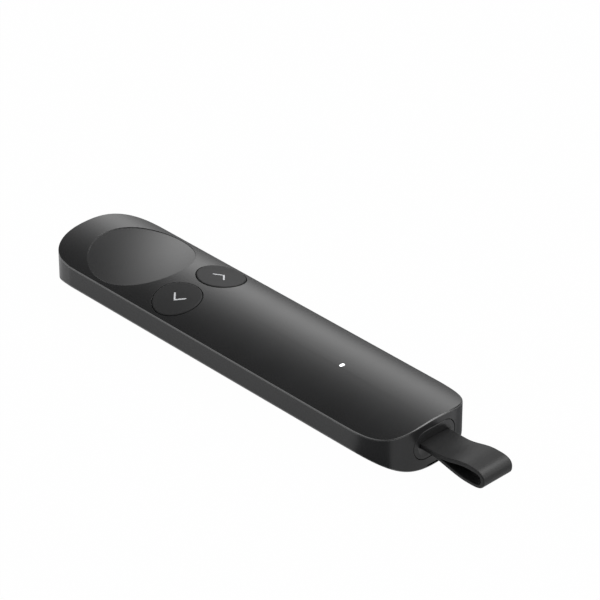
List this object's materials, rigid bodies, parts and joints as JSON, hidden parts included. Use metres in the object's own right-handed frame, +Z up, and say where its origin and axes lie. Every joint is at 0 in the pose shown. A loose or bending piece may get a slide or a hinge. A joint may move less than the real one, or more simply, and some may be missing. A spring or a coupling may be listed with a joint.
{
  "type": "presentation clicker",
  "caption": "Slim wireless presentation clicker with a thumb dish, round keys, a side power key and a pull-out receiver on a strap loop.",
  "frame": {"origin": "middle of the footprint, on the surface that the clicker rests on, strap included", "axes": "+Y along the body to the nose, +Z up out of the key face, +X to the wall with the power key"},
  "size_m": [0.029, 0.1416, 0.013],
  "materials": {
    "cover_plastic": "fine satin texture",
    "wall_plastic": "fine satin texture",
    "window_plastic": "matte, passes infrared and radio",
    "key_plastic": "matte",
    "arrow_ink": "matte light grey",
    "receiver_plastic": "satin",
    "strap_rubber": "soft matte",
    "connector_steel": "bright nickel",
    "tongue_plastic": "matte",
    "bay_plastic": "moulded",
    "plunger_plastic": "moulded",
    "switch_steel": "pressed",
    "screw_steel": "blackened",
    "board_laminate": "solder resist",
    "chip_plastic": "moulded",
    "battery_foil": "satin foil",
    "pad_foam": "foam",
    "sensor_steel": "turned",
    "antenna_copper": "bare",
    "light_diffuser": "clear, lit white from below",
    "led_plastic": "moulded"
  },
  "bodies": {
    "housing": {"top_cover": "cover_plastic", "bottom_cover": "cover_plastic", "side_frame": "wall_plastic", "nose_window": "window_plastic", "charge_port": "connector_steel", "port_tongue": "tongue_plastic", "receiver_bay": "bay_plastic", "inner_chassis": "bay_plastic", "prev_switch": "switch_steel", "next_switch": "switch_steel", "power_switch": "switch_steel", "screws": "screw_steel", "main_board": "board_laminate", "control_chips": "chip_plastic", "battery": "battery_foil", "battery_pad": "pad_foam", "force_sensor": "sensor_steel", "haptic_motor": "sensor_steel", "antenna": "antenna_copper", "light_pipe": "light_diffuser", "led": "led_plastic"},
    "prev_key": {"prev_button": "key_plastic", "prev_arrow": "arrow_ink", "prev_plunger": "plunger_plastic"},
    "next_key": {"next_button": "key_plastic", "next_arrow": "arrow_ink", "next_plunger": "plunger_plastic"},
    "power_key": {"power_button": "key_plastic", "power_plunger": "plunger_plastic"},
    "receiver": {"receiver_body": "receiver_plastic", "receiver_connector": "connector_steel", "receiver_board": "board_laminate", "strap": "strap_rubber", "strap_pin": "screw_steel"}
  },
  "joints": [
    {"name": "prev_press", "type": "slide", "parent": "housing", "child": "prev_key", "axis": [0, 0, -1], "range_m": [0, 0.00035], "stiffness_N_per_m": 4000},
    {"name": "next_press", "type": "slide", "parent": "housing", "child": "next_key", "axis": [0, 0, -1], "range_m": [0, 0.00035], "stiffness_N_per_m": 4000},
    {"name": "power_press", "type": "slide", "parent": "housing", "child": "power_key", "axis": [-1, 0, 0], "range_m": [0, 0.0003], "stiffness_N_per_m": 4000},
    {"name": "receiver_pull", "type": "slide", "parent": "housing", "child": "receiver", "axis": [0, -1, 0], "range_m": [0, 0.027]}
  ]
}
